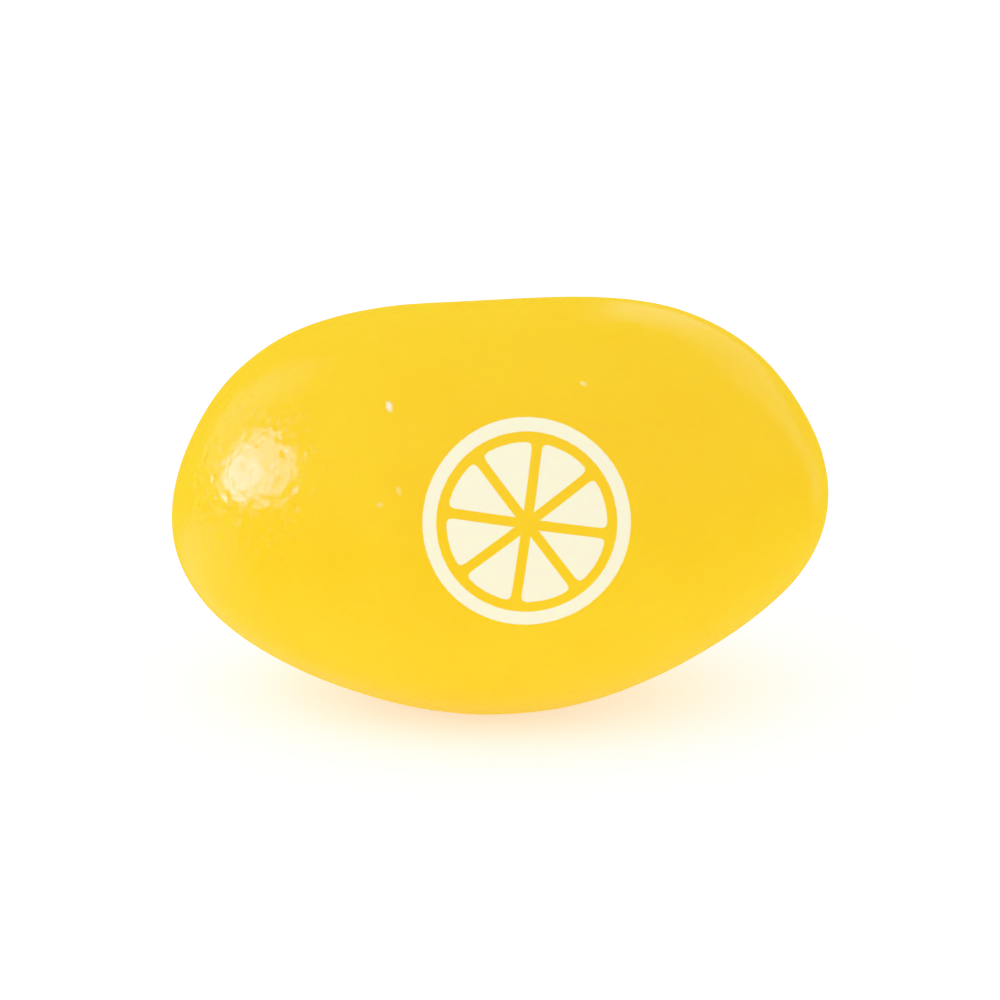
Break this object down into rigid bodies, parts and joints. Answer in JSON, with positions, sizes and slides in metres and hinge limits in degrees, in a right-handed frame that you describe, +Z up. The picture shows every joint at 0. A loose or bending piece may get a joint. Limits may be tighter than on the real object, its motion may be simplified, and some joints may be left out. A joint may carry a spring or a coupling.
{
  "type": "jelly bean",
  "caption": "Plump, slightly kidney-shaped sweet with blunt round ends and a hard polished sugar shell, lying on its belly.",
  "frame": {"origin": "on the surface the bean rests on, under the middle of its outline", "axes": "+X along the bean towards its raised end, +Y towards its back, +Z up"},
  "size_m": [0.016, 0.0106, 0.01],
  "materials": {
    "candy_shell": "polished sugar shell, warm lemon yellow, slightly translucent, with one small pale edible-ink mark on the front"
  },
  "bodies": {
    "root": {"jelly_bean": "candy_shell"}
  },
  "joints": []
}
